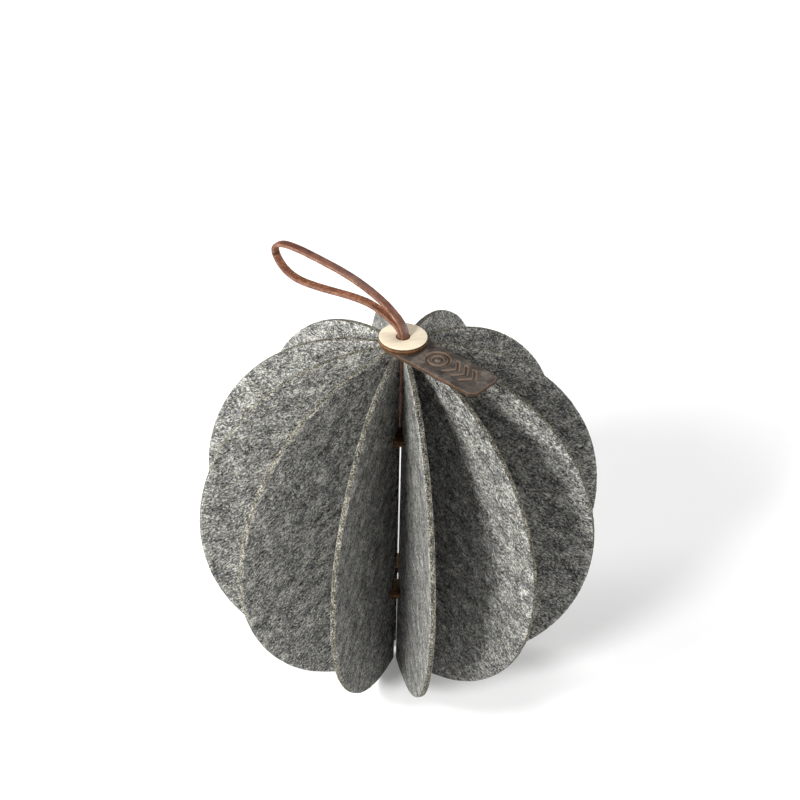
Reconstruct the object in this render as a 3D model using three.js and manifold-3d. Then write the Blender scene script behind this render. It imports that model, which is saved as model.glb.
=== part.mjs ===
// A felt fin ball: twelve half-round wool felt fins stand round a vertical axis, slotted into two
// plywood discs near the middle. A leather lace runs down the axis to a knot under the upper disc,
// and on top it carries a leather tag, a plywood washer and the loop that the ball hangs by.
// Millimetres, +Z up. The origin is on the surface that the ball stands on, under its axis.
// -Y is the front, and it looks into the gap between two fins.

import * as THREE from 'three';
import { mergeVertices } from 'three/addons/utils/BufferGeometryUtils.js';
import Module from 'manifold-3d';

const wasm = await Module();
wasm.setup();

// Driving dimensions.
const finCount = 12;
const finRadius = 93;
const coreRadius = 7; // the straight inner edges of the fins stand this far from the axis
const waistRadius = 9; // and this far between the two discs, where the lace and its knot are
const feltThickness = 3;
const tipFlat = 3; // length of the level edge at each fin's lowest and highest point
const plyThickness = 3;
const discRadius = 17;
const discHoleRadius = 4.5;
const slotRootRadius = 12; // fin notch and disc slot meet at this radius
const washerRadius = 12;
const lacingHoleRadius = 3.25; // hole in the washer and in the tag
const tagWidth = 21;
const tagReach = 52.5; // from the axis to the tag's far end
const tagThickness = 2;
const tagCorner = 5;
const tagBendRadius = 440;
const tagBendAngle = 0.11; // radians, a little more than the tag's length takes up
const tagAzimuth = 54; // from the front, towards +X
const laceWidth = 4.2;
const laceThickness = 2;
const laceEdge = 0.4; // bevel along the lace's four corners
const strandGap = 0.3;
const leanAzimuth = -122; // the way the loop leans, from the front towards +X
const knotRadius = 5.8;
const knotHeight = 8;
const fitGap = 0.3; // clearance between pieces that touch
const woodEdge = 0.3; // softened edge of the washer
const loopClearance = 1.3; // from the washer's top to the loop's ends, so that the loop can swing

// How finely round shapes are cut.
const finArcSegments = 32;
const discArcSegments = 6;
const tagArcSegments = 10;
const tagBendSegments = 8;
const washerSegments = 72;
const knotSegments = 20;
const knotRings = 10;
const loopSteps = 56;
const weldDistance = 1e-4;

// Worked out from them.
const fullTurn = 2 * Math.PI;
const centreHeight = finRadius;
const discOffset = finRadius / 2;
const slotHalfWidth = feltThickness / 2 + fitGap;
const tagBottom = 2 * finRadius + fitGap;
const washerBottom = tagBottom + tagThickness + fitGap;
const washerTop = washerBottom + plyThickness;
const upperDiscBottom = centreHeight + discOffset - plyThickness / 2;
const strandOffset = (laceThickness + strandGap) / 2;

// The loop's middle line in its own upright plane: [distance from the axis along the lean, height].
const loopRoute = [
  [-strandOffset, washerTop + loopClearance],
  [-0.8, 194.8],
  [0.9, 197.6],
  [3.9, 200.7],
  [9, 204.7],
  [16.6, 208.4],
  [23.9, 210.9],
  [31.3, 212.8],
  [38.7, 214.1],
  [46, 214.9],
  [53.4, 215.6],
  [60.9, 216.1],
  [68.3, 216.1],
  [73.9, 215.2],
  [77.6, 213],
  [78.2, 209.9],
  [76.9, 206.6],
  [74.2, 203.2],
  [70.6, 200.6],
  [66, 199],
  [61, 198.5],
  [54, 198.9],
  [46, 199.9],
  [37, 201.2],
  [28, 202.2],
  [19.5, 202.2],
  [12, 200.3],
  [5.6, 197],
  [2.2, 194.5],
  [strandOffset, washerTop + loopClearance],
];

const felt = new THREE.MeshStandardMaterial({ color: 0x7d7d7b, roughness: 0.95, metalness: 0 });
const birch = new THREE.MeshStandardMaterial({ color: 0xd9bf97, roughness: 0.7, metalness: 0 });
const darkPly = new THREE.MeshStandardMaterial({ color: 0x8a5a2e, roughness: 0.75, metalness: 0 });
const laceLeather = new THREE.MeshStandardMaterial({ color: 0x7a4a34, roughness: 0.55, metalness: 0 });
const tagLeather = new THREE.MeshStandardMaterial({ color: 0x5d534c, roughness: 0.6, metalness: 0 });

// Angle from +X, counter-clockwise, of a direction given from the front (-Y) towards +X.
function headingOf(azimuth) {
  return THREE.MathUtils.degToRad(azimuth - 90);
}

// Angle from +X of fin or slot number i.
function finHeading(i) {
  return headingOf((360 / finCount) * (i + 0.5));
}

function named(name, geometry, material) {
  const mesh = new THREE.Mesh(geometry, material);
  mesh.name = name;
  return mesh;
}

// A flat outline made solid, from height 0 up to its thickness.
function plate(outline, thickness, curveSegments) {
  return new THREE.ExtrudeGeometry(outline, { depth: thickness, bevelEnabled: false, curveSegments });
}

// An outline drawn in the upright XZ plane, made solid and centred on that plane.
function uprightPlate(outline, thickness, curveSegments) {
  const geometry = plate(outline, thickness, curveSegments);
  geometry.translate(0, 0, -thickness / 2);
  geometry.rotateX(Math.PI / 2);
  return geometry;
}

function circleHole(radius) {
  return new THREE.Path().absarc(0, 0, radius, 0, fullTurn, true);
}

function toSolid(geometry) {
  const bare = geometry.clone();
  bare.deleteAttribute('normal');
  bare.deleteAttribute('uv');
  const merged = mergeVertices(bare, weldDistance);
  return new wasm.Manifold(
    new wasm.Mesh({
      numProp: 3,
      vertProperties: Float32Array.from(merged.attributes.position.array),
      triVerts: Uint32Array.from(merged.index.array),
    }),
  );
}

function fromSolid(solid) {
  const mesh = solid.getMesh();
  const geometry = new THREE.BufferGeometry();
  geometry.setAttribute('position', new THREE.BufferAttribute(mesh.vertProperties, 3));
  geometry.setIndex(new THREE.BufferAttribute(mesh.triVerts, 1));
  geometry.computeVertexNormals();
  return geometry;
}

// A half disc with a straight inner edge, cut back a little between two notches that take the core discs.
function finOutline() {
  const arcStart = 2 * Math.atan(tipFlat / finRadius);
  const notchRoot = slotRootRadius + fitGap / 2;
  const notchHalf = plyThickness / 2 + fitGap;
  const outline = new THREE.Shape();
  outline.moveTo(coreRadius, -finRadius);
  outline.lineTo(coreRadius + tipFlat, -finRadius);
  outline.absarc(coreRadius, 0, finRadius, arcStart - Math.PI / 2, Math.PI / 2 - arcStart, false);
  outline.lineTo(coreRadius + tipFlat, finRadius);
  outline.lineTo(coreRadius, finRadius);
  outline.lineTo(coreRadius, discOffset + notchHalf);
  outline.lineTo(notchRoot, discOffset + notchHalf);
  outline.lineTo(notchRoot, discOffset - notchHalf);
  outline.lineTo(waistRadius, discOffset - notchHalf);
  outline.lineTo(waistRadius, notchHalf - discOffset);
  outline.lineTo(notchRoot, notchHalf - discOffset);
  outline.lineTo(notchRoot, -notchHalf - discOffset);
  outline.lineTo(coreRadius, -notchHalf - discOffset);
  outline.closePath();
  return outline;
}

function fins() {
  const geometry = uprightPlate(finOutline(), feltThickness, finArcSegments);
  return Array.from({ length: finCount }, (_, i) => {
    const fin = named(`fin_${String(i + 1).padStart(2, '0')}`, geometry, felt);
    fin.rotation.z = finHeading(i);
    fin.position.z = centreHeight;
    return fin;
  });
}

// A disc with one open slot in its rim for each fin, and a round hole for the lace.
function discOutline() {
  const rimHalfAngle = Math.asin(slotHalfWidth / discRadius);
  const slotRoot = slotRootRadius - fitGap / 2;
  const outline = new THREE.Shape();
  for (let i = 0; i < finCount; i++) {
    const heading = finHeading(i);
    const along = new THREE.Vector2(Math.cos(heading), Math.sin(heading));
    const across = new THREE.Vector2(-along.y, along.x);
    const rootCorners = [-slotHalfWidth, slotHalfWidth].map((side) =>
      along.clone().multiplyScalar(slotRoot).addScaledVector(across, side),
    );
    if (i === 0) {
      outline.moveTo(rootCorners[0].x, rootCorners[0].y);
    } else {
      outline.lineTo(rootCorners[0].x, rootCorners[0].y);
    }
    outline.lineTo(rootCorners[1].x, rootCorners[1].y);
    outline.absarc(0, 0, discRadius, heading + rimHalfAngle, finHeading(i + 1) - rimHalfAngle, false);
  }
  outline.closePath();
  outline.holes.push(circleHole(discHoleRadius));
  return outline;
}

function coreDiscs() {
  const geometry = plate(discOutline(), plyThickness, discArcSegments);
  geometry.translate(0, 0, -plyThickness / 2);
  return [
    ['core_disc_upper', discOffset],
    ['core_disc_lower', -discOffset],
  ].map(([name, offset]) => {
    const disc = named(name, geometry, darkPly);
    disc.position.z = centreHeight + offset;
    return disc;
  });
}

function washer() {
  const profile = [
    [lacingHoleRadius, woodEdge],
    [lacingHoleRadius + woodEdge, 0],
    [washerRadius - woodEdge, 0],
    [washerRadius, woodEdge],
    [washerRadius, plyThickness - woodEdge],
    [washerRadius - woodEdge, plyThickness],
    [lacingHoleRadius + woodEdge, plyThickness],
    [lacingHoleRadius, plyThickness - woodEdge],
    [lacingHoleRadius, woodEdge],
  ].map(([radius, height]) => new THREE.Vector2(radius, height));
  const geometry = new THREE.LatheGeometry(profile, washerSegments);
  geometry.rotateX(Math.PI / 2);
  const mesh = named('top_washer', geometry, birch);
  mesh.position.z = washerBottom;
  return mesh;
}

// The tag seen from above: round behind the lace, straight sides, two rounded far corners.
function tagPlan() {
  const half = tagWidth / 2;
  const cornerAt = [tagReach - tagCorner, half - tagCorner];
  const plan = new THREE.Shape();
  plan.absarc(0, 0, half, Math.PI / 2, 1.5 * Math.PI, false);
  plan.absarc(cornerAt[0], -cornerAt[1], tagCorner, -Math.PI / 2, 0, false);
  plan.absarc(cornerAt[0], cornerAt[1], tagCorner, 0, Math.PI / 2, false);
  plan.closePath();
  plan.holes.push(circleHole(lacingHoleRadius));
  return plan;
}

// The tag seen from the side: level under the washer, then bending gently down.
function tagSide() {
  const bendEnd = Math.PI / 2 - tagBendAngle;
  const topRadius = tagBendRadius + tagThickness;
  const side = new THREE.Shape();
  side.moveTo(-tagWidth, 0);
  side.absarc(washerRadius, -tagBendRadius, tagBendRadius, Math.PI / 2, bendEnd, true);
  side.absarc(washerRadius, -tagBendRadius, topRadius, bendEnd, Math.PI / 2, false);
  side.lineTo(-tagWidth, tagThickness);
  side.closePath();
  return side;
}

function tag() {
  const bent = toSolid(uprightPlate(tagSide(), 2 * tagWidth, tagBendSegments));
  const prism = plate(tagPlan(), tagWidth, tagArcSegments);
  prism.translate(0, 0, -tagWidth / 2);
  const mesh = named('leather_tag', fromSolid(bent.intersect(toSolid(prism))), tagLeather);
  mesh.position.z = tagBottom;
  mesh.rotation.z = headingOf(tagAzimuth);
  return mesh;
}

// The lace's cross-section: x is its width, y its thickness.
function laceSection() {
  const x = laceWidth / 2;
  const y = laceThickness / 2;
  return new THREE.Shape(
    [
      [x, -y + laceEdge],
      [x, y - laceEdge],
      [x - laceEdge, y],
      [-x + laceEdge, y],
      [-x, y - laceEdge],
      [-x, -y + laceEdge],
      [-x + laceEdge, -y],
      [x - laceEdge, -y],
    ].map(([a, b]) => new THREE.Vector2(a, b)),
  );
}

function laceAlong(points, steps) {
  const places = points.map(([along, height]) => new THREE.Vector3(along, 0, height));
  const route = new THREE.CatmullRomCurve3(places);
  return new THREE.ExtrudeGeometry(laceSection(), { steps, extrudePath: route, bevelEnabled: false });
}

function laceKnot() {
  const profile = [];
  for (let i = 0; i <= knotRings; i++) {
    const angle = (Math.PI * i) / knotRings;
    profile.push(new THREE.Vector2(knotRadius * Math.sin(angle), (-knotHeight / 2) * Math.cos(angle)));
  }
  const geometry = new THREE.LatheGeometry(profile, knotSegments);
  geometry.rotateX(Math.PI / 2);
  const mesh = named('lace_knot', geometry, laceLeather);
  mesh.position.z = upperDiscBottom - fitGap - knotHeight / 2;
  return mesh;
}

// The loop, and the two strands that run down side by side from it to the knot.
function lace() {
  const legRoutes = [-strandOffset, strandOffset].map((along) => [
    [along, upperDiscBottom],
    [along, washerTop],
  ]);
  const pieces = [
    named('lace_loop', laceAlong(loopRoute, loopSteps), laceLeather),
    named('lace_leg_outer', laceAlong(legRoutes[0], 1), laceLeather),
    named('lace_leg_inner', laceAlong(legRoutes[1], 1), laceLeather),
  ];
  for (const piece of pieces) {
    piece.rotation.z = headingOf(leanAzimuth);
  }
  return [...pieces, laceKnot()];
}

const finBall = new THREE.Group();
finBall.add(...fins(), ...coreDiscs(), washer(), tag(), ...lace());

export default finBall;
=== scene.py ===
# Felt fin ball: twelve grey wool felt fins slotted into two plywood discs, with a plywood washer,
# a leather tag and a leather lace loop on top. Metres, +Z up, the ball stands at the origin.
import math

import bmesh
import bpy
from mathutils import Matrix, Vector, noise
from mathutils.geometry import interpolate_bezier


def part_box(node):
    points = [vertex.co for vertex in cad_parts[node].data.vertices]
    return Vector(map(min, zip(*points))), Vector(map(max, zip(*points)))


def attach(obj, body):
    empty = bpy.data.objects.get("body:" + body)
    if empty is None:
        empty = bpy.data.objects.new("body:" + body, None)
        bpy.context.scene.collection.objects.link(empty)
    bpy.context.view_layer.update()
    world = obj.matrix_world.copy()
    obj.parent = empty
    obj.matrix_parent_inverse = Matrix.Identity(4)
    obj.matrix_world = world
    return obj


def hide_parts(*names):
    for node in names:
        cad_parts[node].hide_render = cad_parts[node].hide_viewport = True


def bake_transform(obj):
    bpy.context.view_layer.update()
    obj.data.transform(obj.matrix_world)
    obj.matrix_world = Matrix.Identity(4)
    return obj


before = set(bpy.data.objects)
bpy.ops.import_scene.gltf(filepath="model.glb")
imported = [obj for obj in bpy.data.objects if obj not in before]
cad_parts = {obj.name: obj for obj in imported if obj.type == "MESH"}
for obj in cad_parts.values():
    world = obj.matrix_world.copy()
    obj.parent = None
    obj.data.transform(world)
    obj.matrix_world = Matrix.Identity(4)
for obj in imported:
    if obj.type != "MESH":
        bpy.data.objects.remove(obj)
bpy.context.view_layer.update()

mm = 0.001
tinyGap = 0.001 * mm  # points closer than this are one


def boxOf(node):
    low, high = (Vector(corner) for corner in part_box(node))
    return low, high


def heading(azimuth):
    # angle from +X of a direction given in degrees from the front (-Y) towards +X
    return math.radians(azimuth - 90)


def smoothStep(value, low, high):
    part = min(max((value - low) / (high - low), 0.0), 1.0)
    return part * part * (3 - 2 * part)


ballHeight = boxOf("fin_01")[1].z
ballMiddle = Vector((0, 0, ballHeight / 2))

# camera

cameraView = {
    "lens": 208.2,  # mm
    "sensor": 36,  # mm
    "clip": (0.05, 50),
    "distance": 2.293,  # from the ball's middle
    "azimuth": 3.74,
    "elevation": 36.28,
    "pan": 0.02,  # small turns away from the ball's middle
    "tilt": 1.249,
    "roll": 1.32,
}


def makeCamera():
    angles = ("azimuth", "elevation", "pan", "tilt", "roll")
    turn = {key: math.radians(cameraView[key]) for key in angles}
    aim = Matrix.Rotation(turn["azimuth"], 4, "Z")
    aim = aim @ Matrix.Rotation(math.pi / 2 - turn["elevation"], 4, "X")
    offAim = Matrix.Rotation(turn["pan"], 4, "Y") @ Matrix.Rotation(turn["tilt"], 4, "X")
    offAim = offAim @ Matrix.Rotation(turn["roll"], 4, "Z")
    place = Matrix.Translation(ballMiddle + aim.to_3x3() @ Vector((0, 0, cameraView["distance"])))
    camera = bpy.data.objects.new("camera", bpy.data.cameras.new("camera"))
    camera.data.lens = cameraView["lens"]
    camera.data.sensor_width = cameraView["sensor"]
    camera.data.clip_start, camera.data.clip_end = cameraView["clip"]
    camera.matrix_world = place @ aim @ offAim
    bpy.context.scene.collection.objects.link(camera)
    bpy.context.scene.camera = camera


makeCamera()
print("camera made")

# helpers for meshes


def makePiece(name, bm, materials):
    mesh = bpy.data.meshes.new(name)
    bm.to_mesh(mesh)
    bm.free()
    for material in materials:
        mesh.materials.append(material)
    piece = bpy.data.objects.new(name, mesh)
    bpy.context.scene.collection.objects.link(piece)
    return piece


def smoothFaces(bm, sharpAngle):
    # smooth shading, with hard edges where faces meet at more than the angle in degrees
    for face in bm.faces:
        face.smooth = True
    for edge in bm.edges:
        edge.smooth = edge.calc_face_angle(0) < math.radians(sharpAngle)


def facesOf(parts):
    return [part for part in parts if isinstance(part, bmesh.types.BMFace)]


def vertsOf(parts):
    return [part for part in parts if isinstance(part, bmesh.types.BMVert)]


def cutAcross(bm, faces, axis, place):
    # a straight cut through some faces; it gives back the faces that are there afterwards
    point, normal = Vector((0, 0, 0)), Vector((0, 0, 0))
    point[axis], normal[axis] = place, 1
    parts = dict.fromkeys(part for face in faces for part in (face, *face.edges, *face.verts))
    return facesOf(bmesh.ops.bisect_plane(bm, geom=list(parts), plane_co=point, plane_no=normal)["geom"])


def hardEdges(bm):
    return [edge for edge in bm.edges if edge.calc_face_angle(0) > math.radians(60)]


def splitLargeFaces(bm):
    # straight cuts leave some faces with many corners
    bmesh.ops.triangulate(bm, faces=[face for face in bm.faces if len(face.verts) > 4])


def placesBetween(corners, cell):
    # places for cuts, about a cell apart, between the corners
    places = []
    for low, high in zip(corners, corners[1:]):
        count = max(1, round((high - low) / cell))
        places += [low + (high - low) * i / count for i in range(1, count)]
    return places


def thicken(bm, thickness, cuts):
    # makes a flat sheet at height 0 solid, centred on it, with rows of faces round its wall
    bmesh.ops.translate(bm, vec=(0, 0, -thickness / 2), verts=bm.verts)
    made = bmesh.ops.extrude_face_region(bm, geom=bm.faces[:], use_keep_orig=True)
    bmesh.ops.translate(bm, vec=(0, 0, thickness), verts=vertsOf(made["geom"]))
    bmesh.ops.recalc_face_normals(bm, faces=bm.faces)
    uprights = [edge for edge in bm.edges if abs(edge.verts[0].co.z - edge.verts[1].co.z) > thickness / 2]
    bmesh.ops.subdivide_edges(bm, edges=uprights, cuts=cuts, use_grid_fill=True)


# helpers for materials


def startMaterial(name, roughness, specular):
    material = bpy.data.materials.new(name)
    material.use_nodes = True
    shader = material.node_tree.nodes["Principled BSDF"]
    shader.inputs["Roughness"].default_value = roughness
    shader.inputs["Specular IOR Level"].default_value = specular
    return material, material.node_tree, shader


def addNode(tree, kind, values, **settings):
    # values fill the node's inputs, by a link where the value is another node's output
    node = tree.nodes.new(kind)
    for key, value in settings.items():
        setattr(node, key, value)
    for key, value in values.items():
        if isinstance(value, bpy.types.NodeSocket):
            tree.links.new(value, node.inputs[key])
        else:
            node.inputs[key].default_value = value
    return node


def worked(tree, operation, first, second):
    return addNode(tree, "ShaderNodeMath", {0: first, 1: second}, operation=operation).outputs[0]


def weighted(tree, *pairs):
    # the sum of several outputs, each times its weight
    total = None
    for source, weight in pairs:
        part = worked(tree, "MULTIPLY", source, weight)
        total = part if total is None else worked(tree, "ADD", total, part)
    return total


def turned(tree, source, angle, scale=(1, 1, 1), shift=(0, 0, 0)):
    # angle in degrees of the pattern's first axis; a small first scale draws the pattern out along it
    back = {"Vector": source, "Rotation": (0, 0, -math.radians(angle)), "Location": shift}
    flat = addNode(tree, "ShaderNodeMapping", back).outputs[0]
    return addNode(tree, "ShaderNodeMapping", {"Vector": flat, "Scale": scale}).outputs[0]


def cloudy(tree, vector, scale, detail=2.0, roughness=0.5):
    values = {"Vector": vector, "Scale": scale, "Detail": detail, "Roughness": roughness}
    return addNode(tree, "ShaderNodeTexNoise", values).outputs["Fac"]


def rangeOf(tree, source, low, high, newLow=0.0, newHigh=1.0):
    values = {"Value": source, "From Min": low, "From Max": high, "To Min": newLow, "To Max": newHigh}
    return addNode(tree, "ShaderNodeMapRange", values).outputs[0]


def rampOf(tree, source, stops):
    node = addNode(tree, "ShaderNodeValToRGB", {"Fac": source})
    elements = node.color_ramp.elements
    while len(elements) < len(stops):
        elements.new(0.5)
    for element, (place, colour) in zip(elements, stops):
        element.position = place
        element.color = (*colour, 1)
    return node.outputs["Color"]


def blended(tree, factor, first, second):
    colours = {6: first, 7: second}
    for key, value in colours.items():
        if isinstance(value, tuple):
            colours[key] = (*value, 1)
    values = {0: factor, **colours}
    return addNode(tree, "ShaderNodeMix", values, data_type="RGBA").outputs[2]


def bumpy(tree, shader, height, distance, strength):
    values = {"Height": height, "Distance": distance, "Strength": strength}
    tree.links.new(addNode(tree, "ShaderNodeBump", values).outputs[0], shader.inputs["Normal"])


# felt

feltLook = {
    "roughness": 0.92,
    "specular": 0.15,
    "sheen": 0.03,
    "sheenRoughness": 0.6,
    "grainAngle": 152,  # most fibres lie along this, from the radius (0) to upright (90)
    "drift": 0.5,  # how far the fibres wander from that
    "driftScale": 1.4,
    "fleck": 13.0,  # flecks in each 10 mm
    "fibres": [
        # turn from the grain, stretch, shift, fineness, share
        (0, 0.45, (0, 0, 0), 1.0, 0.6),
        (-70, 0.6, (3, 7, 0), 1.0, 0.25),
        (50, 0.6, (8, 1, 0), 1.2, 0.25),
    ],
    "hairs": [(0, 2), (-35, 5), (40, 11), (85, 17)],  # turn from the grain, shift
    "hairStretch": 0.13,
    "hairFineness": 1.6,
    "paleHairs": (0.60, 0.72, 0.07),  # from, to, share
    "darkHairs": (0.38, 0.28, -0.05),
    "patchScale": 1.5,
    "patches": 0.30,
    "offset": 0.195,  # brings the tone's middle to the middle of the tones
    "tones": [
        (0.36, (0.010, 0.010, 0.009)),
        (0.44, (0.050, 0.050, 0.047)),
        (0.50, (0.122, 0.121, 0.112)),
        (0.56, (0.240, 0.238, 0.216)),
        (0.65, (0.520, 0.515, 0.465)),
    ],
    # spots: colour, turn, shift, scale, from, to, strength
    "spots": [
        ((0.078, 0.090, 0.125), 20, (9, 4, 0), 3.2, 0.56, 0.70, 0.4),
        ((0.17, 0.138, 0.085), 70, (2, 8, 0), 2.7, 0.58, 0.72, 0.2),
    ],
    "relief": 0.25 * mm,
}


def driftedFibres(tree, uv):
    # the fibres wander a little from their direction
    drift = {"Vector": uv, "Scale": feltLook["driftScale"], "Detail": 2.0}
    drift = addNode(tree, "ShaderNodeTexNoise", drift).outputs["Color"]
    drift = addNode(tree, "ShaderNodeVectorMath", {0: drift, 1: (0.5, 0.5, 0.5)}, operation="SUBTRACT")
    drift = {0: drift.outputs[0], "Scale": feltLook["drift"]}
    drift = addNode(tree, "ShaderNodeVectorMath", drift, operation="SCALE")
    return addNode(tree, "ShaderNodeVectorMath", {0: uv, 1: drift.outputs[0]}, operation="ADD").outputs[0]


def makeFelt():
    look = feltLook
    material, tree, shader = startMaterial("woolFelt", look["roughness"], look["specular"])
    shader.inputs["Sheen Weight"].default_value = look["sheen"]
    shader.inputs["Sheen Roughness"].default_value = look["sheenRoughness"]
    uv = addNode(tree, "ShaderNodeUVMap", {}, uv_map="felt").outputs[0]
    bent = driftedFibres(tree, uv)
    grain, fleck = look["grainAngle"], look["fleck"]
    layers = []
    for turn, stretch, shift, fineness, share in look["fibres"]:
        layer = turned(tree, bent, grain + turn, (stretch, 1, 1), shift)
        layers.append((cloudy(tree, layer, fleck * fineness, 2.5, 0.65), share))
    fibres = weighted(tree, *layers)
    # single hairs, pale and dark, over the flecks
    hairs = []
    for turn, shift in look["hairs"]:
        layer = turned(tree, bent, grain + turn, (look["hairStretch"], 1, 1), (shift, shift, 0))
        strand = cloudy(tree, layer, fleck * look["hairFineness"], 1.0)
        for start, end, share in (look["paleHairs"], look["darkHairs"]):
            hairs.append((rangeOf(tree, strand, start, end), share))
    patches = cloudy(tree, turned(tree, uv, grain, (0.7, 1, 1), (5, 2, 0)), look["patchScale"], 3.0, 0.6)
    tone = weighted(tree, (fibres, 1.0), (patches, look["patches"]), *hairs)
    colour = rampOf(tree, worked(tree, "SUBTRACT", tone, look["offset"]), look["tones"])
    for spotColour, turn, shift, scale, start, end, strength in look["spots"]:
        spots = cloudy(tree, turned(tree, uv, turn, (1, 1, 1), shift), scale)
        colour = blended(tree, rangeOf(tree, spots, start, end, 0, strength), colour, spotColour)
    tree.links.new(colour, shader.inputs["Base Color"])
    bumpy(tree, shader, weighted(tree, (fibres, 1.0), *hairs), look["relief"], 0.7)
    return material


feltEdgeLook = {
    "speckScale": 1500,
    "patchScale": 240,
    "tones": [
        (0.36, (0.006, 0.005, 0.004)),
        (0.45, (0.030, 0.028, 0.022)),
        (0.53, (0.120, 0.113, 0.091)),
        (0.63, (0.400, 0.378, 0.305)),
    ],
    "relief": 0.3 * mm,
}


def makeFeltEdge():
    # the cut edge shows the ends of the fibres, with more contrast and more yellow than the faces
    material, tree, shader = startMaterial("feltCutEdge", 0.95, 0.1)
    place = addNode(tree, "ShaderNodeTexCoord", {}).outputs["Object"]
    speck = cloudy(tree, place, feltEdgeLook["speckScale"], 2.5, 0.7)
    patch = cloudy(tree, place, feltEdgeLook["patchScale"])
    colour = rampOf(tree, weighted(tree, (speck, 0.8), (patch, 0.2)), feltEdgeLook["tones"])
    tree.links.new(colour, shader.inputs["Base Color"])
    bumpy(tree, shader, speck, feltEdgeLook["relief"], 0.8)
    return material


finShape = {
    "inner": 7 * mm,  # the straight inner edge, from the axis
    "waist": 9 * mm,  # the same edge between the two core discs
    "thickness": 3 * mm,
    "notchRoot": 12.15 * mm,
    "notchHalf": 1.8 * mm,
    "discOffset": ballHeight / 4,  # of the core discs, up and down from the middle
    "arcSegments": 560,
    "cell": 2 * mm,  # squares of the mesh on the faces
    "bands": [0.3 * mm, 0.7 * mm],  # along the cut edge
    "wallCuts": 4,
    "weld": 0.02 * mm,
    "clampRadius": 15 * mm,  # the core discs hold the felt up to here
    "leans": [-1.2, 0.5, 1.7, 0.0, -1.2, -3.3, -1.8, 1.5, 1.3, 1.0, -0.9, 0.9],  # degrees, at the rim
    "wave": 0.5 * mm,
    "waveLength": 45 * mm,
    "dent": 0.07 * mm,
    "dentLength": 3 * mm,
    "rough": 0.2 * mm,
    "roughLength": 1.3 * mm,
    "arcBand": 0.1 * mm,  # what lies this close to the arc is on its wall
    "bulge": 0.12 * mm,  # of the wall, halfway through the thickness
    "softness": 1 * mm,  # the faces round off towards the cut edge from here
    "roundOff": 0.24,  # share of the thickness that this takes
    "patternUnit": 10 * mm,
    "otherFace": 23,  # shift of the pattern between a fin's two faces, in units
    "nextFin": (13.7, 5.3),
}


def finOutline(bm):
    # a half disc in x (radius) and y (height) with its notches, bands along its edge and squares inside
    shape = finShape
    radius = ballHeight / 2
    inner, waist, root = shape["inner"], shape["waist"], shape["notchRoot"]
    offset, half = shape["discOffset"], shape["notchHalf"]
    notchHeights = [-offset - half, half - offset, offset - half, offset + half]
    bmesh.ops.create_circle(bm, cap_ends=True, radius=radius, segments=shape["arcSegments"])
    whole = bm.verts[:] + bm.edges[:] + bm.faces[:]
    bmesh.ops.bisect_plane(bm, geom=whole, plane_co=(0, 0, 0), plane_no=(1, 0, 0), clear_inner=True)
    bmesh.ops.translate(bm, vec=(inner, 0, 0), verts=bm.verts)
    for height in notchHeights:
        cutAcross(bm, bm.faces[:], 1, height)
    for depth in (waist, root):
        cutAcross(bm, bm.faces[:], 0, depth)
    gone = []
    for face in bm.faces:
        middle = face.calc_center_median()
        inNotch = middle.x < root and abs(abs(middle.y) - offset) < half
        inWaist = middle.x < waist and abs(middle.y) < offset
        if inNotch or inWaist:
            gone.append(face)
    bmesh.ops.delete(bm, geom=gone, context="FACES")
    inside = bm.faces[:]
    for band in shape["bands"]:
        bmesh.ops.inset_region(bm, faces=inside, thickness=band, use_boundary=True, use_even_offset=True)
    for place in placesBetween([inner, waist, root, inner + radius], shape["cell"]):
        inside = cutAcross(bm, inside, 0, place)
    for place in placesBetween([-radius, *notchHeights, radius], shape["cell"]):
        inside = cutAcross(bm, inside, 1, place)
    bmesh.ops.remove_doubles(bm, verts=bm.verts, dist=shape["weld"])
    splitLargeFaces(bm)


def makeFinBlank():
    bm = bmesh.new()
    finOutline(bm)
    thicken(bm, finShape["thickness"], finShape["wallCuts"])
    uv = bm.loops.layers.uv.new("felt")
    for face in bm.faces:
        onWall = abs(face.normal.z) < 0.5
        face.material_index = 1 if onWall else 0
        shift = finShape["otherFace"] if face.normal.z > 0 else 0
        for loop in face.loops:
            place = loop.vert.co / finShape["patternUnit"]
            loop[uv].uv = (place.x, place.y + shift)
    smoothFaces(bm, 80)
    return bm


def shapeFin(bm, lean, seed):
    # the felt's soft edge, its waviness and its lean, on a flat blank
    shape = finShape
    radius, inner, half = ballHeight / 2, shape["inner"], shape["thickness"] / 2
    lean = (inner + radius) * math.tan(math.radians(lean))
    for vert in bm.verts:
        x, y, z = vert.co
        fromArc = radius - math.hypot(x - inner, y)
        toEdge = min(fromArc, x - inner)
        side = z / half
        # soft corners and a rough cut
        near = max(0.0, 1 - toEdge / shape["softness"])
        z *= 1 - shape["roundOff"] * near ** 3
        outward = Vector((x - inner, y, 0)).normalized()
        if fromArc < shape["arcBand"]:
            place = Vector((x, y, z)) / shape["roughLength"] + seed
            bulge = shape["bulge"] * (1 - side * side)
            shift = outward * (bulge + shape["rough"] * noise.noise(place))
            x, y = x + shift.x, y + shift.y
        # small dents on each face, then what bends both faces together
        z += side * shape["dent"] * noise.noise(Vector((x, y, 9 * side)) / shape["dentLength"] + seed)
        free = max(0.0, (x - shape["clampRadius"]) / (inner + radius - shape["clampRadius"]))
        wave = noise.noise(Vector((x, y, 0)) / shape["waveLength"] + 3 * seed)
        z += free * shape["wave"] * wave - lean * free ** 1.5
        vert.co = (x, y, z)


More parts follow.
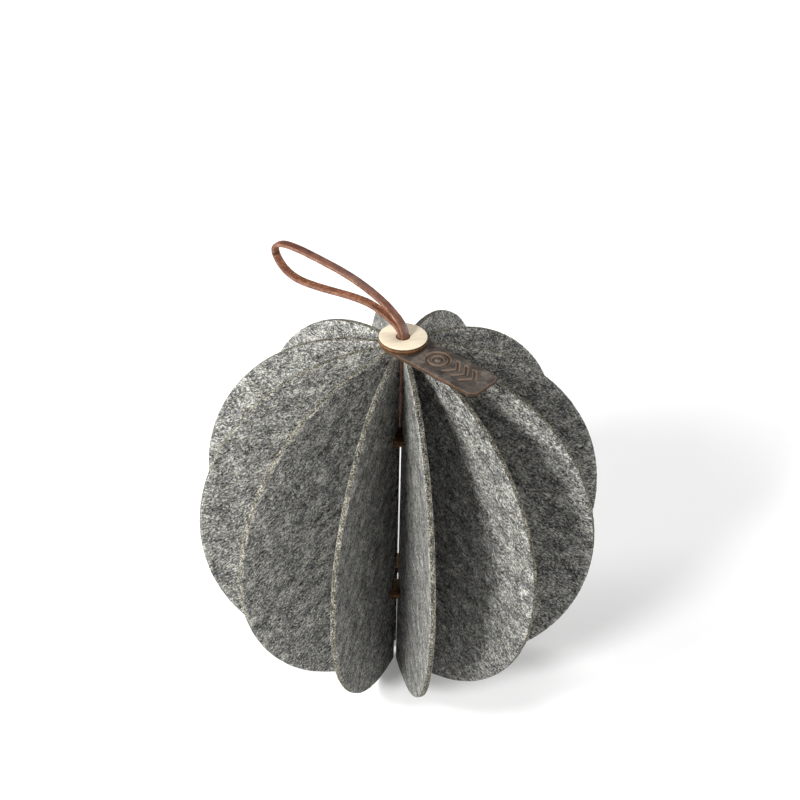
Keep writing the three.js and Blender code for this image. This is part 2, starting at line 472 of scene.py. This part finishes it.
def makeFins(materials):
    blank = makeFinBlank()
    for number, lean in enumerate(finShape["leans"]):
        node = f"fin_{number + 1:02d}"
        bm = blank.copy()
        seed = Vector((number * 7.3, number * 3.1, number * 5.7))
        shapeFin(bm, lean, seed)
        uv = bm.loops.layers.uv["felt"]
        for face in bm.faces:
            for loop in face.loops:
                loop[uv].uv += number * Vector(finShape["nextFin"])
        turn = Matrix.Rotation(heading(360 / len(finShape["leans"]) * (number + 0.5)), 4, "Z")
        bm.transform(Matrix.Translation(ballMiddle) @ turn @ Matrix.Rotation(math.pi / 2, 4, "X"))
        fin = makePiece(f"felt_{node}", bm, materials)
        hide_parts(node)
        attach(fin, "ball")
    blank.free()


makeFins([makeFelt(), makeFeltEdge()])
print("felt fins made")

# plywood

plyLook = {
    "face": (0.72, 0.64, 0.49),
    "vein": (0.63, 0.53, 0.38),
    # the core discs' faces: a darker, warmer copy of the birch, painted shade for their place deep between
    # the fins
    "paintedShadeFace": (0.34, 0.17, 0.07),
    "paintedShadeVein": (0.20, 0.09, 0.035),
    "grainAngle": 25,
    "burnt": (0.070, 0.032, 0.012),
    "scorched": (0.024, 0.010, 0.004),
    "bare": (0.175, 0.092, 0.040),
    "ply": 2 * mm,  # two plies, one light and one dark
    "softEdge": 0.2 * mm,
}


def makeBirchFace(name, face, vein):
    material, tree, shader = startMaterial(name, 0.62, 0.3)
    place = addNode(tree, "ShaderNodeTexCoord", {}).outputs["Object"]
    grain = plyLook["grainAngle"]
    veins = cloudy(tree, turned(tree, place, grain, (0.06, 1, 1)), 1500, 3.0, 0.55)
    broad = cloudy(tree, turned(tree, place, grain, (0.2, 1, 1)), 170, 2.0)
    speck = cloudy(tree, place, 1900, 2.0, 0.6)
    tone = weighted(tree, (veins, 0.5), (broad, 0.3), (speck, 0.2))
    pale = tuple(1.08 * part for part in face)
    colour = rampOf(tree, tone, [(0.36, vein), (0.50, face), (0.62, pale)])
    tree.links.new(colour, shader.inputs["Base Color"])
    bumpy(tree, shader, veins, 0.05 * mm, 0.4)
    return material


def makeBurntEdge():
    # a laser-cut edge: scorched, with the plies just showing
    material, tree, shader = startMaterial("burntPlyEdge", 0.7, 0.15)
    place = addNode(tree, "ShaderNodeTexCoord", {}).outputs["Object"]
    height = addNode(tree, "ShaderNodeSeparateXYZ", {"Vector": place}).outputs["Z"]
    plies = worked(tree, "SINE", worked(tree, "MULTIPLY", height, math.tau / plyLook["ply"]), 0)
    streaks = cloudy(tree, turned(tree, place, 0, (1, 1, 0.15)), 900, 2.0, 0.6)
    patches = cloudy(tree, place, 220)
    tone = weighted(tree, (rangeOf(tree, plies, -1, 1), 0.25), (streaks, 0.45), (patches, 0.3))
    tones = [(0.30, plyLook["scorched"]), (0.50, plyLook["burnt"]), (0.70, plyLook["bare"])]
    colour = rampOf(tree, tone, tones)
    tree.links.new(colour, shader.inputs["Base Color"])
    bumpy(tree, shader, streaks, 0.08 * mm, 0.5)
    return material


washerShape = {"hole": 3.25 * mm, "corner": 0.4 * mm, "segments": 128}


def makeWasher(materials):
    low, high = boxOf("top_washer")
    bm = bmesh.new()
    inner, outer = washerShape["hole"], high.x
    corners = [bm.verts.new(place) for place in (
        (inner, 0, low.z), (outer, 0, low.z), (outer, 0, high.z), (inner, 0, high.z),
    )]
    profile = [bm.edges.new((corners[i], corners[(i + 1) % 4])) for i in range(4)]
    bmesh.ops.spin(
        bm, geom=corners + profile, cent=(0, 0, 0), axis=(0, 0, 1),
        angle=math.tau, steps=washerShape["segments"], use_merge=True,
    )
    bmesh.ops.remove_doubles(bm, verts=bm.verts, dist=tinyGap)
    bmesh.ops.recalc_face_normals(bm, faces=bm.faces)
    bmesh.ops.bevel(
        bm, geom=hardEdges(bm), offset=washerShape["corner"], segments=3, profile=0.5,
        affect="EDGES", material=-1,
    )
    for face in bm.faces:
        face.material_index = 0 if abs(face.normal.z) > 0.8 else 1
    smoothFaces(bm, 40)
    washer = makePiece("plywood_washer", bm, materials)
    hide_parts("top_washer")
    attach(washer, "washer")


def makeCoreDisc(node, materials):
    # the CAD disc with its loose triangles joined and its edges softened
    bm = bmesh.new()
    bm.from_mesh(bpy.data.objects[node].data)
    bmesh.ops.remove_doubles(bm, verts=bm.verts, dist=tinyGap)
    bmesh.ops.dissolve_limit(bm, angle_limit=math.radians(1), verts=bm.verts, edges=bm.edges)
    bmesh.ops.bevel(
        bm, geom=hardEdges(bm), offset=plyLook["softEdge"], segments=2, profile=0.5,
        affect="EDGES", material=-1, clamp_overlap=True,
    )
    for face in bm.faces:
        face.material_index = 0 if abs(face.normal.z) > 0.8 else 1
    smoothFaces(bm, 40)
    disc = makePiece(f"plywood_{node}", bm, materials)
    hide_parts(node)
    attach(disc, "ball")


birch = makeBirchFace("birchFace", plyLook["face"], plyLook["vein"])
# the same birch made darker for the core discs, as painted shade
shadedBirch = makeBirchFace("paintedShadeBirchFace", plyLook["paintedShadeFace"], plyLook["paintedShadeVein"])
burntEdge = makeBurntEdge()
makeWasher([birch, burntEdge])
for coreNode in ("core_disc_upper", "core_disc_lower"):
    makeCoreDisc(coreNode, [shadedBirch, burntEdge])
print("plywood pieces made")

# leather tag

tagShape = {
    "width": 21 * mm,
    "reach": 52.5 * mm,
    "thickness": 2 * mm,
    "farCorner": 5 * mm,
    "hole": 3.25 * mm,
    "cell": 0.5 * mm,
    "bands": [0.4 * mm, 0.4 * mm],
    "levelPart": 12 * mm,  # under the washer
    "bendRadius": 440 * mm,
    "azimuth": 54,
    "line": 0.85 * mm,  # half the width of a pressed line
    "depth": 0.5 * mm,
    "ringPlace": 22 * mm,
    "rings": [5.6 * mm, 2.2 * mm],
    "chevronFirst": 30 * mm,
    "chevronStep": 5.2 * mm,
    "chevronCount": 3,
    "chevronReach": 5.8 * mm,  # across, from the tag's middle line
    "chevronSlope": 0.75,
    "edgeBand": 0.6 * mm,  # rounds off towards the cut edge from here
    "edgeRound": 0.22,
    "highlightBand": 0.1 * mm,  # a painted highlight round the top of the outline, up to here
    # the strength of the painted highlight round the outline, the same as the rubbed sides of the pressed
    # lines
    "rubbedAndHighlight": 0.37,
    "dent": 0.06 * mm,
    "dentLength": 2.2 * mm,
}


def insideTag(x, y):
    # distance from the tag's outline, positive inside it
    shape = tagShape
    half = shape["width"] / 2
    corner = half if x < 0 else shape["farCorner"]
    far = (-x if x < 0 else x - shape["reach"] + half) - half + corner
    side = abs(y) - half + corner
    outside = math.hypot(max(far, 0), max(side, 0)) + min(max(far, side), 0)
    return corner - outside


def pressedInto(x, y):
    # from 0 on the plain leather to 1 in the middle of a pressed line
    shape = tagShape
    line = shape["line"]
    gaps = [abs(math.hypot(x - shape["ringPlace"], y) - radius) for radius in shape["rings"]]
    if abs(y) < shape["chevronReach"]:
        for i in range(shape["chevronCount"]):
            tip = shape["chevronFirst"] + i * shape["chevronStep"]
            past = x - tip - shape["chevronSlope"] * (shape["chevronReach"] - abs(y))
            gaps.append(abs(past) / math.hypot(1, shape["chevronSlope"]))
    return 1 - smoothStep(min(gaps), 0.35 * line, 1.5 * line)


def makeTag(materials):
    shape = tagShape
    half, reach = shape["width"] / 2, shape["reach"]
    bm = bmesh.new()
    bmesh.ops.create_grid(bm, x_segments=1, y_segments=1, size=0.5)
    bmesh.ops.scale(bm, vec=(reach + half, shape["width"], 1), verts=bm.verts)
    bmesh.ops.translate(bm, vec=((reach - half) / 2, 0, 0), verts=bm.verts)
    for end, radius, segments in ((-half, half - 0.01 * mm, 24), (reach, shape["farCorner"], 12)):
        corners = [vert for vert in bm.verts if abs(vert.co.x - end) < mm and abs(vert.co.y) > 0.99 * half]
        bmesh.ops.bevel(
            bm, geom=corners, offset=radius, segments=segments, profile=0.5, affect="VERTICES", material=-1,
        )
    inside = bm.faces[:]
    for band in shape["bands"]:
        bmesh.ops.inset_region(bm, faces=inside, thickness=band, use_boundary=True, use_even_offset=True)
    for place in placesBetween([-half, 0, reach], shape["cell"]):
        inside = cutAcross(bm, inside, 0, place)
    for place in placesBetween([-half, 0, half], shape["cell"]):
        inside = cutAcross(bm, inside, 1, place)
    hole = [face for face in bm.faces if face.calc_center_median().to_2d().length < shape["hole"]]
    bmesh.ops.delete(bm, geom=hole, context="FACES")
    for vert in bm.verts:
        if vert.is_boundary and vert.co.to_2d().length < 2 * shape["hole"]:
            vert.co = vert.co.normalized() * shape["hole"]
    bmesh.ops.remove_doubles(bm, verts=bm.verts, dist=0.02 * mm)
    splitLargeFaces(bm)
    thicken(bm, shape["thickness"], 3)
    for face in bm.faces:
        if abs(face.normal.z) < 0.5:
            face.material_index = 1
        else:
            face.material_index = 0 if face.normal.z > 0 else 2
    # how far each point is pressed in, and the painted highlight along the outline's top
    pressedAndHighlight = bm.verts.layers.float.new("pressedAndHighlight")
    for vert in bm.verts:
        x, y, z = vert.co
        edge = insideTag(x, y)
        onTop = z > 0.49 * shape["thickness"]
        z *= 1 - shape["edgeRound"] * max(0.0, 1 - edge / shape["edgeBand"]) ** 2
        if onTop:
            depth = pressedInto(x, y)
            z -= shape["depth"] * depth
            z += shape["dent"] * noise.noise(Vector((x, y, 0)) / shape["dentLength"])
            # the outline's top gets a painted highlight, as light as the rubbed sides of the pressed lines
            vert[pressedAndHighlight] = depth if edge > shape["highlightBand"] else shape["rubbedAndHighlight"]
        past = max(0.0, x - shape["levelPart"])
        z -= past * past / (2 * shape["bendRadius"])
        vert.co = (x, y, z)
    smoothFaces(bm, 50)
    place = Matrix.Translation((0, 0, boxOf("leather_tag")[1].z - shape["thickness"] / 2))
    bm.transform(place @ Matrix.Rotation(heading(shape["azimuth"]), 4, "Z"))
    tag = makePiece("pressed_leather_tag", bm, materials)
    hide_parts("leather_tag")
    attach(tag, "tag")


tagLook = {
    "tones": [
        (0.38, (0.018, 0.014, 0.011)),
        (0.51, (0.056, 0.045, 0.037)),
        (0.63, (0.135, 0.112, 0.093)),
    ],
    # the rubbed sides of the pressed lines, and the painted highlight round the outline
    "rubbedAndHighlight": (0.25, 0.14, 0.075),
    "sunk": (0.03, 0.02, 0.015),
    # dark, middle and light
    "cutEdge": [(0.016, 0.009, 0.006), (0.040, 0.023, 0.014), (0.09, 0.054, 0.034)],
    "fleshSide": [(0.06, 0.045, 0.035), (0.12, 0.09, 0.07), (0.20, 0.16, 0.125)],
}


def makeTagLeather():
    material, tree, shader = startMaterial("tagLeather", 0.5, 0.35)
    place = addNode(tree, "ShaderNodeTexCoord", {}).outputs["Object"]
    pressedAndHighlight = addNode(tree, "ShaderNodeAttribute", {}, attribute_name="pressedAndHighlight").outputs["Fac"]
    patches = cloudy(tree, place, 160, 3.0, 0.6)
    pores = cloudy(tree, place, 1500, 2.0, 0.6)
    tone = weighted(tree, (patches, 0.6), (pores, 0.4))
    colour = rampOf(tree, tone, tagLook["tones"])
    # the sides of a pressed line are rubbed lighter, and the outline gets the same colour as a painted
    # highlight; a line's bottom is darker
    rubbedAndHighlight = worked(tree, "MULTIPLY", rangeOf(tree, pressedAndHighlight, 0.0, 0.35), rangeOf(tree, pressedAndHighlight, 0.8, 0.4))
    colour = blended(tree, worked(tree, "MULTIPLY", rubbedAndHighlight, 0.65), colour, tagLook["rubbedAndHighlight"])
    colour = blended(tree, rangeOf(tree, pressedAndHighlight, 0.7, 1.0, 0, 0.6), colour, tagLook["sunk"])
    tree.links.new(colour, shader.inputs["Base Color"])
    tree.links.new(rangeOf(tree, tone, 0.3, 0.7, 0.40, 0.58), shader.inputs["Roughness"])
    bumpy(tree, shader, tone, 0.1 * mm, 0.5)
    return material


def makeRawLeather(name, tones, scale, relief):
    # cut edges and flesh sides, where the fibres show
    material, tree, shader = startMaterial(name, 0.85, 0.2)
    place = addNode(tree, "ShaderNodeTexCoord", {}).outputs["Object"]
    nap = cloudy(tree, place, scale, 3.0, 0.65)
    patches = cloudy(tree, place, scale / 6, 2.0)
    colour = rampOf(tree, weighted(tree, (nap, 0.7), (patches, 0.3)), list(zip((0.36, 0.50, 0.64), tones)))
    tree.links.new(colour, shader.inputs["Base Color"])
    bumpy(tree, shader, nap, relief, 0.7)
    return material


tagEdge = makeRawLeather("tagCutEdge", tagLook["cutEdge"], 1500, 0.15 * mm)
tagBack = makeRawLeather("tagFleshSide", tagLook["fleshSide"], 900, 0.2 * mm)
makeTag([makeTagLeather(), tagEdge, tagBack])
print("leather tag made")

# leather lace

laceShape = {
    "width": 4.2 * mm,
    "thickness": 2.0 * mm,
    "corner": 0.45 * mm,
    "spacing": 0.9 * mm,  # between rings
    "leanAzimuth": -122,
    "twist": -15,  # degrees about the axis at the hole
    "twistTop": 14 * mm,  # from the hole to where the twist has gone
    "inHole": 1.6 * mm,  # how far the loop reaches down into the washer's hole
    "strand": 1.15,  # mm, from the axis to the middle of each strand there
    "legGap": 0.1,  # mm, between the loop's ends and the strands below
    "bendEnd": (22, 206),  # where the loop's bend at the hole ends, as in its route
    "suedeNap": 0.13 * mm,
    "grainNap": 0.03 * mm,
    "napLength": 0.9 * mm,
    "crease": 0.06 * mm,
    "creaseLength": 6 * mm,
    "crown": 0.12 * mm,
    "curveSteps": 24,  # between two points of a route
}
washerTop = boxOf("top_washer")[1].z
# the loop's middle line: distance from the axis along its lean, and height, in mm
loopRoute = [
    (-1.15, 192.9), (-0.8, 194.8), (0.9, 197.6), (3.9, 200.7), (9, 204.7), (16.6, 208.4), (23.9, 210.9),
    (31.3, 212.8), (38.7, 214.1), (46, 214.9), (53.4, 215.6), (60.9, 216.1), (68.3, 216.1), (73.9, 215.2),
    (77.6, 213), (78.2, 209.9), (76.9, 206.6), (74.2, 203.2), (70.6, 200.6), (66, 199), (61, 198.5),
    (54, 198.9), (46, 199.9), (37, 201.2), (28, 202.2), (19.5, 202.2), (12, 200.3), (5.6, 197),
    (2.2, 194.5), (1.15, 192.9),
]


def evenly(points, spacing):
    # points a fixed distance apart on a smooth curve through the given ones
    fine = []
    padded = [points[0], *points, points[-1]]
    for before, start, end, after in zip(padded, padded[1:], padded[2:], padded[3:]):
        handles = (start + (end - before) / 6, end - (after - start) / 6)
        fine += interpolate_bezier(start, *handles, end, laceShape["curveSteps"])[:-1]
    fine.append(points[-1])
    lengths = [0.0]
    for first, second in zip(fine, fine[1:]):
        lengths.append(lengths[-1] + (second - first).length)
    count = round(lengths[-1] / spacing)
    line, at = [], 0
    for i in range(count + 1):
        wanted = lengths[-1] * i / count
        while at < len(fine) - 2 and lengths[at + 1] < wanted:
            at += 1
        part = (wanted - lengths[at]) / max(lengths[at + 1] - lengths[at], 1e-9)
        line.append(fine[at].lerp(fine[at + 1], min(part, 1.0)))
    return line, lengths[-1]


def laceSection(bm):
    # a strip's rounded end face, its width along x and its grain side towards +y
    shape = laceShape
    bmesh.ops.create_grid(bm, x_segments=1, y_segments=1, size=0.5)
    bmesh.ops.scale(bm, vec=(shape["width"], shape["thickness"], 1), verts=bm.verts)
    bmesh.ops.bevel(
        bm, geom=bm.verts[:], offset=shape["corner"], segments=3, profile=0.5,
        affect="VERTICES", material=-1,
    )
    wide, thick = shape["width"], shape["thickness"]
    longSides = [edge for edge in bm.edges if edge.calc_length() > 0.5 * wide]
    shortSides = [edge for edge in bm.edges if 0.4 * thick < edge.calc_length() < thick]
    bmesh.ops.subdivide_edges(bm, edges=longSides, cuts=5)
    bmesh.ops.subdivide_edges(bm, edges=shortSides, cuts=1)
    bmesh.ops.dissolve_faces(bm, faces=bm.faces[:], use_verts=False)


def sweepLace(line, widthways, name, materials, seed):
    # the section, extruded from point to point; widthways gives the strip's width direction at a point
    shape = laceShape
    stations = []
    for i, point in enumerate(line):
        along = (line[min(i + 1, len(line) - 1)] - line[max(i - 1, 0)]).normalized()
        across = widthways(point)
        across = (across - along * across.dot(along)).normalized()
        out = along.cross(across)
        stations.append(Matrix.Translation(point) @ Matrix((across, out, along)).transposed().to_4x4())
    bm = bmesh.new()
    laceSection(bm)
    bm.verts.ensure_lookup_table()
    layer = bm.verts.layers.float_vector.new("strip")
    for vert in bm.verts:
        vert[layer] = (vert.co.x, vert.co.y, 0)
    bm.transform(stations[0])
    end = bm.faces[:][0]
    spacing = (line[1] - line[0]).length
    for i, (here, there) in enumerate(zip(stations, stations[1:])):
        made = bmesh.ops.extrude_face_region(bm, geom=[end], use_keep_orig=i == 0)
        fresh = vertsOf(made["geom"])
        bmesh.ops.transform(bm, matrix=there @ here.inverted(), verts=fresh)
        for vert in fresh:
            vert[layer] = (vert[layer][0], vert[layer][1], (i + 1) * spacing)
        end = facesOf(made["geom"])[0]
    bmesh.ops.recalc_face_normals(bm, faces=bm.faces)
    flatSide = shape["width"] / 2 - 0.6 * shape["corner"]
    for face in bm.faces:
        middle = sum((vert[layer] for vert in face.verts), Vector()) / len(face.verts)
        if abs(middle.x) > flatSide or len(face.verts) > 4:
            face.material_index = 2
        else:
            face.material_index = 0 if middle.y > 0 else 1
    # the flesh side is napped, the grain side a little crowned and creased
    for vert in bm.verts:
        x, y, z = vert[layer]
        place = Vector((x, y, z))
        shift = shape["suedeNap"] if y < 0 else shape["grainNap"]
        shift *= noise.noise(place / shape["napLength"] + seed)
        shift += shape["crease"] * noise.noise(place / shape["creaseLength"] + seed)
        crown = shape["crown"] * (1 - (2 * x / shape["width"]) ** 2) * (1 if y > 0 else -0.3)
        station = stations[min(round(z / spacing), len(stations) - 1)]
        vert.co += station.to_3x3() @ Vector((0, shift * (1 if y > 0 else -1) + crown, 0))
    smoothFaces(bm, 60)
    return makePiece(name, bm, materials)


def leanPoint(along, height):
    turn = Matrix.Rotation(heading(laceShape["leanAzimuth"]), 3, "Z")
    return turn @ Vector((along * mm, 0, height * mm))


def twistAt(point):
    above = (point - Vector((0, 0, washerTop))).length if point.z > washerTop else 0
    share = 1 - smoothStep(above, 0, laceShape["twistTop"])
    return Matrix.Rotation(math.radians(laceShape["twist"]) * share, 3, "Z")


def makeLace(materials):
    shape = laceShape
    sideways = Matrix.Rotation(heading(shape["leanAzimuth"]), 3, "Z") @ Vector((0, 1, 0))
    strand = shape["strand"]
    down = (washerTop - shape["inHole"]) / mm

    def widthways(point):
        return twistAt(point) @ sideways

    route = [leanPoint(*place) for place in [(-strand, down), *loopRoute, (strand, down)]]
    route = [twistAt(point) @ point for point in route]
    line, length = evenly(route, shape["spacing"])
    loop = sweepLace(line, widthways, "leather_lace_loop", materials, Vector((1, 2, 3)))
    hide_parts("lace_loop")
    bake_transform(loop)
    print("  lace loop", round(length * 1000, 1), "mm")
    for node, side in (("lace_leg_outer", -strand), ("lace_leg_inner", strand)):
        bottom = boxOf(node)[0].z / mm
        heights = (bottom, (bottom + down) / 2, down - shape["legGap"])
        ends = [leanPoint(side, height) for height in heights]
        ends = [twistAt(point) @ point for point in ends]
        if side > 0:
            ends.reverse()
        legLine, _ = evenly(ends, shape["spacing"])
        leg = sweepLace(legLine, widthways, f"leather_{node}", materials, Vector((side, 5, 8)))
        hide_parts(node)
        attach(leg, "ball")


knotShape = {"strand": 1.5 * mm, "segments": 150, "sides": 10, "weld": 0.05 * mm}


def makeKnot(materials):
    # the two strands tied round each other: three lobes of one closed tube
    low, high = boxOf("lace_knot")
    middle, size = (low + high) / 2, (high - low) / 2
    reach = size.x - knotShape["strand"]
    rise = size.z - knotShape["strand"]
    bm = bmesh.new()
    bmesh.ops.create_circle(bm, cap_ends=True, radius=knotShape["strand"], segments=knotShape["sides"])
    count = knotShape["segments"]

    def station(i):
        def place(turn):
            wide = (2 + math.cos(3 * turn)) / 3
            spin = Vector((math.cos(2 * turn), math.sin(2 * turn), 0)) * reach * wide
            return middle + spin + Vector((0, 0, rise * math.sin(3 * turn)))
        turn = math.tau * i / count
        along = (place(turn + 0.01) - place(turn - 0.01)).normalized()
        across = (place(turn) - middle).cross(along).normalized()
        axes = Matrix((across, along.cross(across), along)).transposed().to_4x4()
        return Matrix.Translation(place(turn)) @ axes

    bm.transform(station(0))
    end = bm.faces[:][0]
    for i in range(count):
        made = bmesh.ops.extrude_face_region(bm, geom=[end], use_keep_orig=i == 0)
        bmesh.ops.transform(bm, matrix=station(i + 1) @ station(i).inverted(), verts=vertsOf(made["geom"]))
        end = facesOf(made["geom"])[0]
    caps = [face for face in bm.faces if len(face.verts) > 4]
    bmesh.ops.delete(bm, geom=caps, context="FACES_ONLY")
    bmesh.ops.remove_doubles(bm, verts=bm.verts, dist=knotShape["weld"])
    bmesh.ops.recalc_face_normals(bm, faces=bm.faces)
    smoothFaces(bm, 60)
    knot = makePiece("leather_lace_knot", bm, materials)
    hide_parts("lace_knot")
    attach(knot, "ball")


laceLook = {
    "tones": [
        (0.34, (0.060, 0.022, 0.014)),
        (0.50, (0.130, 0.048, 0.030)),
        (0.66, (0.23, 0.095, 0.060)),
    ],
    # dark, middle and light
    "suede": [(0.045, 0.016, 0.009), (0.16, 0.060, 0.030), (0.36, 0.16, 0.09)],
    "cutEdge": [(0.045, 0.019, 0.012), (0.125, 0.058, 0.036), (0.27, 0.15, 0.10)],
}


def makeLaceGrain():
    material, tree, shader = startMaterial("laceGrainSide", 0.42, 0.5)
    place = addNode(tree, "ShaderNodeTexCoord", {}).outputs["Object"]
    patches = cloudy(tree, place, 190, 3.0, 0.6)
    pores = cloudy(tree, place, 2100, 2.0, 0.6)
    tone = weighted(tree, (patches, 0.6), (pores, 0.4))
    colour = rampOf(tree, tone, laceLook["tones"])
    tree.links.new(colour, shader.inputs["Base Color"])
    tree.links.new(rangeOf(tree, tone, 0.3, 0.7, 0.34, 0.52), shader.inputs["Roughness"])
    bumpy(tree, shader, tone, 0.1 * mm, 0.5)
    return material


laceGrain = makeLaceGrain()
laceSuede = makeRawLeather("laceSuedeSide", laceLook["suede"], 1500, 0.25 * mm)
laceEdge = makeRawLeather("laceCutEdge", laceLook["cutEdge"], 1700, 0.15 * mm)
makeLace([laceGrain, laceSuede, laceEdge])
makeKnot([laceGrain])
print("leather lace made")

# floor and light

studio = {
    "floorColour": (0.85, 0.85, 0.85),
    "floorGlow": 0.20,
    "floorRadius": 2.2,  # as far as the lamps light it
    "floorSegments": 96,
    "ambient": 0.008,
    "backdrop": 0.96,
    "lampDistance": 2.2,
    "lamps": [
        # name, azimuth from the front, elevation, size, power
        ("keyLow", -28, 24, 0.5, 49),
        ("keyHigh", -45, 38, 0.5, 30),
        ("leftEdge", -95, 10, 1.0, 66),
        ("rightEdge", 95, 12, 1.0, 21),
        ("rightBack", 135, 12, 1.0, 20),
        ("fill", 45, 30, 1.0, 6),
        ("topBack", 165, 62, 0.8, 12),
    ],
}


def makeFloor():
    bm = bmesh.new()
    radius, segments = studio["floorRadius"], studio["floorSegments"]
    bmesh.ops.create_circle(bm, cap_ends=True, radius=radius, segments=segments)
    bmesh.ops.recalc_face_normals(bm, faces=bm.faces)
    material, _, shader = startMaterial("floor", 0.9, 0.1)
    shader.inputs["Base Color"].default_value = (*studio["floorColour"], 1)
    shader.inputs["Emission Color"].default_value = (1, 1, 1, 1)
    shader.inputs["Emission Strength"].default_value = studio["floorGlow"]
    makePiece("floor", bm, [material])


def makeLamps():
    for name, azimuth, elevation, size, power in studio["lamps"]:
        aim = Matrix.Rotation(math.radians(azimuth), 4, "Z")
        aim = aim @ Matrix.Rotation(math.radians(90 - elevation), 4, "X")
        place = ballMiddle + aim.to_3x3() @ Vector((0, 0, studio["lampDistance"]))
        lamp = bpy.data.lights.new(name, "AREA")
        lamp.shape = "DISK"
        lamp.size = size
        lamp.energy = power
        holder = bpy.data.objects.new(name, lamp)
        holder.matrix_world = Matrix.Translation(place) @ aim
        holder.visible_camera = False
        bpy.context.scene.collection.objects.link(holder)


def makeBackdrop():
    # plain white where the view passes the floor, and only a little light from it
    world = bpy.data.worlds.new("studio")
    world.use_nodes = True
    tree = world.node_tree
    seen = addNode(tree, "ShaderNodeLightPath", {}).outputs["Is Camera Ray"]
    strength = rangeOf(tree, seen, 0, 1, studio["ambient"], studio["backdrop"])
    tree.nodes["Background"].inputs["Color"].default_value = (1, 1, 1, 1)
    tree.links.new(strength, tree.nodes["Background"].inputs["Strength"])
    bpy.context.scene.world = world
    bpy.context.scene.view_settings.view_transform = "Standard"


makeFloor()
makeLamps()
makeBackdrop()
print("floor and light made")
